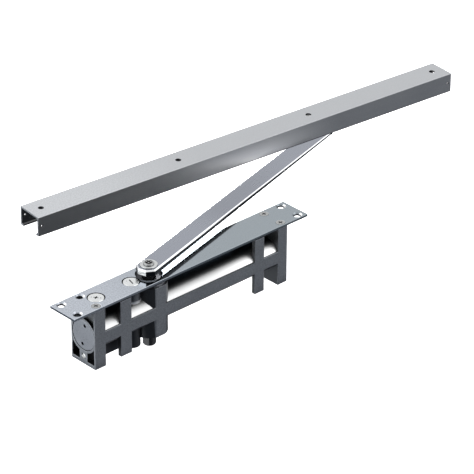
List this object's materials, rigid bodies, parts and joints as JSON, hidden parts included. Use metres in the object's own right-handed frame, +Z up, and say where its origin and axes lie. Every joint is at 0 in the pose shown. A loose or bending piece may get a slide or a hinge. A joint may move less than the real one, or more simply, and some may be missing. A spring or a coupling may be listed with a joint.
{
  "type": "concealed door closer",
  "caption": "Concealed door closer: a mortised hydraulic body with a face plate, regulating valves and a spindle whose flat arm carries a slider in a channel rail.",
  "frame": {"origin": "centre of the face plate's four mounting holes, on the underside of the plate, which lies on the door", "axes": "+X along the closer from its valve end to its spring end, +Y away from the pictured front, +Z up, out of the mortise towards the arm"},
  "size_m": [0.5304, 0.1404, 0.1027],
  "materials": {
    "plate_steel": "satin, faintly brushed along its length, glossy enough to mirror the arm",
    "cast_body": "dark grey satin metallic finish over a casting, brighter on the round cylinder",
    "cap_metal": "grey satin metal with a fine turned grain",
    "bright_steel": "bright nickel-plated steel",
    "dark_steel": "dark phosphated steel",
    "black_steel": "black oxide steel, semi-gloss",
    "arm_steel": "satin top with polished edges and sides",
    "rail_aluminium": "satin anodised extrusion",
    "bearing_bronze": "sintered bronze",
    "black_rubber": "matt black seal rubber",
    "slider_plastic": "white acetal",
    "spring_steel": "oil-tempered spring wire"
  },
  "bodies": {
    "closer": {"face_plate": "plate_steel", "body_casting": "cast_body", "end_cap_left": "cap_metal", "end_cap_right": "cap_metal", "end_cap_seals": "black_rubber", "gallery_plug": "bright_steel", "drain_plug": "dark_steel", "upper_gland": "dark_steel", "lower_gland": "dark_steel", "upper_bearing": "bearing_bronze", "lower_bearing": "bearing_bronze", "upper_seal": "black_rubber", "lower_seal": "black_rubber", "fixing_screws": "bright_steel", "main_spring": "spring_steel"},
    "spindle": {"spindle": "black_steel", "arm": "arm_steel", "arm_washer": "bright_steel", "arm_screw": "bright_steel", "slider_pin": "bright_steel", "slider_clip": "dark_steel"},
    "piston": {"piston": "dark_steel", "check_ball": "bright_steel", "check_seat": "bearing_bronze"},
    "slider": {"slider": "slider_plastic"},
    "guide_rail": {"guide_rail": "rail_aluminium"},
    "sweep_valve": {"sweep_valve": "bright_steel", "sweep_valve_seal": "black_rubber"},
    "latch_valve": {"latch_valve": "bright_steel", "latch_valve_seal": "black_rubber"}
  },
  "joints": [
    {"name": "arm_swing", "type": "hinge", "parent": "closer", "child": "spindle", "pos_m": [-0.039, 0, 0.0085], "axis": [0, 0, 1], "range_deg": [-120, 0], "stiffness_Nm_per_rad": 3, "springref_deg": 57.3},
    {"name": "piston_slide", "type": "slide", "parent": "closer", "child": "piston", "axis": [1, 0, 0], "range_m": [0, 0.0126], "deforming": ["main_spring"]},
    {"name": "slider_turn", "type": "hinge", "parent": "spindle", "child": "slider", "pos_m": [0.24128, 0.07826, 0.0251], "axis": [0, 0, 1], "range_deg": [-60, 21.3]},
    {"name": "rail_slide", "type": "slide", "parent": "slider", "child": "guide_rail", "axis": [0.9951, -0.0993, 0], "range_m": [-0.124, 0.297]},
    {"name": "sweep_valve_turn", "type": "hinge", "parent": "closer", "child": "sweep_valve", "pos_m": [-0.0995, 0, 0.0025], "axis": [0, 0, 1], "range_deg": [-360, 360]},
    {"name": "latch_valve_turn", "type": "hinge", "parent": "closer", "child": "latch_valve", "pos_m": [-0.0595, 0, 0.0025], "axis": [0, 0, 1], "range_deg": [-360, 360]}
  ],
  "couplings": [
    {"joint": "piston_slide", "follows": "arm_swing", "m_per_rad": -0.006}
  ]
}
